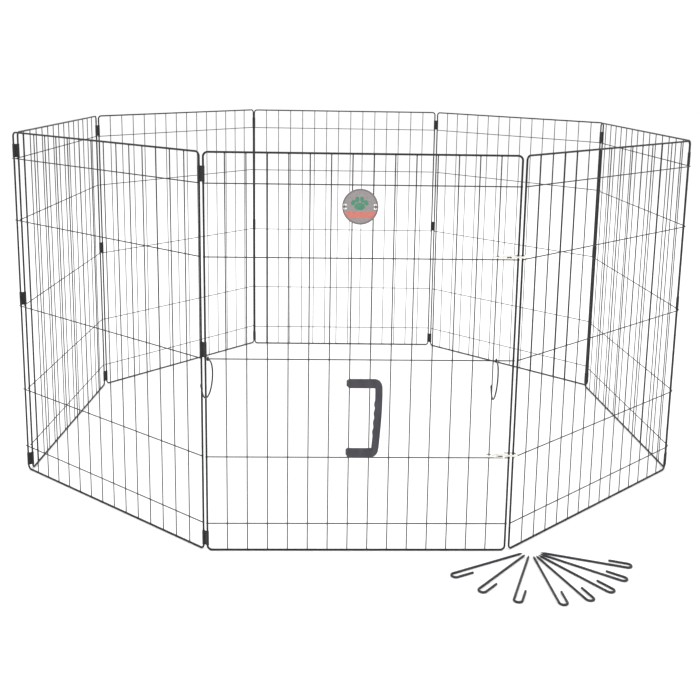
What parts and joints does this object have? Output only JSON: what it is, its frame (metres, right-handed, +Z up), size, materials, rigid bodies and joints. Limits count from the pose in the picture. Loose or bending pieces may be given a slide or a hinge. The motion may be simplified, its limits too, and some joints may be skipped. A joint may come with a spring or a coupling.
{
  "type": "folding wire pet playpen",
  "caption": "Folding wire playpen: hinged grid panels in a ring, closed by bolt snaps, with a carry handle, stack rings, a round badge and ground stakes.",
  "frame": {"origin": "on the floor, under the middle of the front panel, in the plane of its frame wire", "axes": "+Z up, +Y from the front panel across the pen to the back panel, +X to the right along the front panel"},
  "size_m": [1.539, 1.6311, 0.8],
  "materials": {
    "coated_wire": "semi-gloss",
    "coated_sheet": "semi-gloss",
    "spring_steel": "drawn",
    "zinc": "bright zinc",
    "ring_wire": "semi-gloss",
    "handle_plastic": "moulded satin",
    "badge_sheet": "printed satin",
    "tie_wire": "satin",
    "stake_wire": "semi-gloss"
  },
  "bodies": {
    "front": {"front_frame": "coated_wire", "front_uprights": "coated_wire", "front_rails": "coated_wire", "badge_disc": "badge_sheet", "badge_ties": "tie_wire", "upper_snap_body": "zinc", "upper_snap_eye": "zinc", "upper_snap_spring": "spring_steel", "lower_snap_body": "zinc", "lower_snap_eye": "zinc", "lower_snap_spring": "spring_steel", "hinge_sleeves_front_left": "coated_sheet"},
    "right_front": {"right_front_frame": "coated_wire", "right_front_uprights": "coated_wire", "right_front_rails": "coated_wire"},
    "right_back": {"right_back_frame": "coated_wire", "right_back_uprights": "coated_wire", "right_back_rails": "coated_wire", "hinge_sleeves_right": "coated_sheet", "hinge_sleeves_right_rear": "coated_sheet"},
    "back_right": {"back_right_frame": "coated_wire", "back_right_uprights": "coated_wire", "back_right_rails": "coated_wire"},
    "back": {"back_frame": "coated_wire", "back_uprights": "coated_wire", "back_rails": "coated_wire", "hinge_sleeves_rear_right": "coated_sheet", "hinge_sleeves_rear_left": "coated_sheet"},
    "back_left": {"back_left_frame": "coated_wire", "back_left_uprights": "coated_wire", "back_left_rails": "coated_wire"},
    "left_back": {"left_back_frame": "coated_wire", "left_back_uprights": "coated_wire", "left_back_rails": "coated_wire", "hinge_sleeves_left_rear": "coated_sheet", "hinge_sleeves_left": "coated_sheet"},
    "left_front": {"left_front_frame": "coated_wire", "left_front_uprights": "coated_wire", "left_front_rails": "coated_wire"},
    "upper_bolt": {"upper_snap_bolt": "zinc"},
    "lower_bolt": {"lower_snap_bolt": "zinc"},
    "left_ring": {"left_stack_ring": "ring_wire"},
    "right_ring": {"right_stack_ring": "ring_wire"},
    "handle": {"carry_handle": "handle_plastic"},
    "stake_1": {"stake_1": "stake_wire"},
    "stake_2": {"stake_2": "stake_wire"},
    "stake_3": {"stake_3": "stake_wire"},
    "stake_4": {"stake_4": "stake_wire"},
    "stake_5": {"stake_5": "stake_wire"},
    "stake_6": {"stake_6": "stake_wire"},
    "stake_7": {"stake_7": "stake_wire"},
    "stake_8": {"stake_8": "stake_wire"}
  },
  "joints": [
    {"name": "fold", "type": "hinge", "parent": "front", "child": "left_front", "pos_m": [-0.30631, 0.0048, 0.4], "axis": [0, 0, -1], "range_deg": [0, 139.59]},
    {"name": "fold_left_back", "type": "hinge", "parent": "left_front", "child": "left_back", "pos_m": [-0.7662, 0.3839, 0.4], "axis": [0, 0, 1], "range_deg": [0, 232.5]},
    {"name": "fold_back_left", "type": "hinge", "parent": "left_back", "child": "back_left", "pos_m": [-0.71578, 0.99078, 0.4], "axis": [0, 0, -1], "range_deg": [0, 139.36]},
    {"name": "fold_back", "type": "hinge", "parent": "back_left", "child": "back", "pos_m": [-0.30741, 1.42488, 0.4], "axis": [0, 0, 1], "range_deg": [0, 225.79]},
    {"name": "fold_back_right", "type": "hinge", "parent": "back", "child": "back_right", "pos_m": [0.30128, 1.40629, 0.4], "axis": [0, 0, -1], "range_deg": [0, 136.5]},
    {"name": "fold_right_back", "type": "hinge", "parent": "back_right", "child": "right_back", "pos_m": [0.73629, 0.99889, 0.4], "axis": [0, 0, 1], "range_deg": [0, 221.95]},
    {"name": "gate", "type": "hinge", "parent": "right_back", "child": "right_front", "pos_m": [0.76021, 0.39039, 0.4], "axis": [0, 0, -1], "range_deg": [0, 127]},
    {"name": "upper_bolt_draw", "type": "slide", "parent": "front", "child": "upper_bolt", "axis": [-0.9986, 0.0523, 0], "range_m": [0, 0.00943], "stiffness_N_per_m": 300, "springref_m": -0.004},
    {"name": "lower_bolt_draw", "type": "slide", "parent": "front", "child": "lower_bolt", "axis": [-0.9986, 0.0523, 0], "range_m": [0, 0.00943], "stiffness_N_per_m": 300, "springref_m": -0.004},
    {"name": "left_ring_swing", "type": "hinge", "parent": "front", "child": "left_ring", "pos_m": [-0.293, -0.0029, 0.4], "axis": [-1, 0, 0], "range_deg": [0, 90]},
    {"name": "right_ring_swing", "type": "hinge", "parent": "front", "child": "right_ring", "pos_m": [0.26387, -0.0029, 0.4], "axis": [-1, 0, 0], "range_deg": [0, 90]},
    {"name": "handle_swing", "type": "hinge", "parent": "front", "child": "handle", "pos_m": [-0.01987, -0.0009, 0.283], "axis": [0, 0, -1], "range_deg": [0, 110]},
    {"name": "stake_1_lift", "type": "slide", "parent": "front", "child": "stake_1", "axis": [0, 0, 1], "range_m": [0, 0.3]},
    {"name": "stake_2_lift", "type": "slide", "parent": "front", "child": "stake_2", "axis": [0, 0, 1], "range_m": [0, 0.3]},
    {"name": "stake_3_lift", "type": "slide", "parent": "front", "child": "stake_3", "axis": [0, 0, 1], "range_m": [0, 0.3]},
    {"name": "stake_4_lift", "type": "slide", "parent": "front", "child": "stake_4", "axis": [0, 0, 1], "range_m": [0, 0.3]},
    {"name": "stake_5_lift", "type": "slide", "parent": "front", "child": "stake_5", "axis": [0, 0, 1], "range_m": [0, 0.3]},
    {"name": "stake_6_lift", "type": "slide", "parent": "front", "child": "stake_6", "axis": [0, 0, 1], "range_m": [0, 0.3]},
    {"name": "stake_7_lift", "type": "slide", "parent": "front", "child": "stake_7", "axis": [0, 0, 1], "range_m": [0, 0.3]},
    {"name": "stake_8_lift", "type": "slide", "parent": "front", "child": "stake_8", "axis": [0, 0, 1], "range_m": [0, 0.3]}
  ],
  "couplings": [
    {"joint": "fold_left_back", "follows": "fold", "ratio": 1.6655},
    {"joint": "fold_back_left", "follows": "fold", "ratio": 0.99821},
    {"joint": "fold_back", "follows": "fold", "ratio": 1.6174},
    {"joint": "fold_back_right", "follows": "fold", "ratio": 0.97778},
    {"joint": "fold_right_back", "follows": "fold", "ratio": 1.5899}
  ]
}
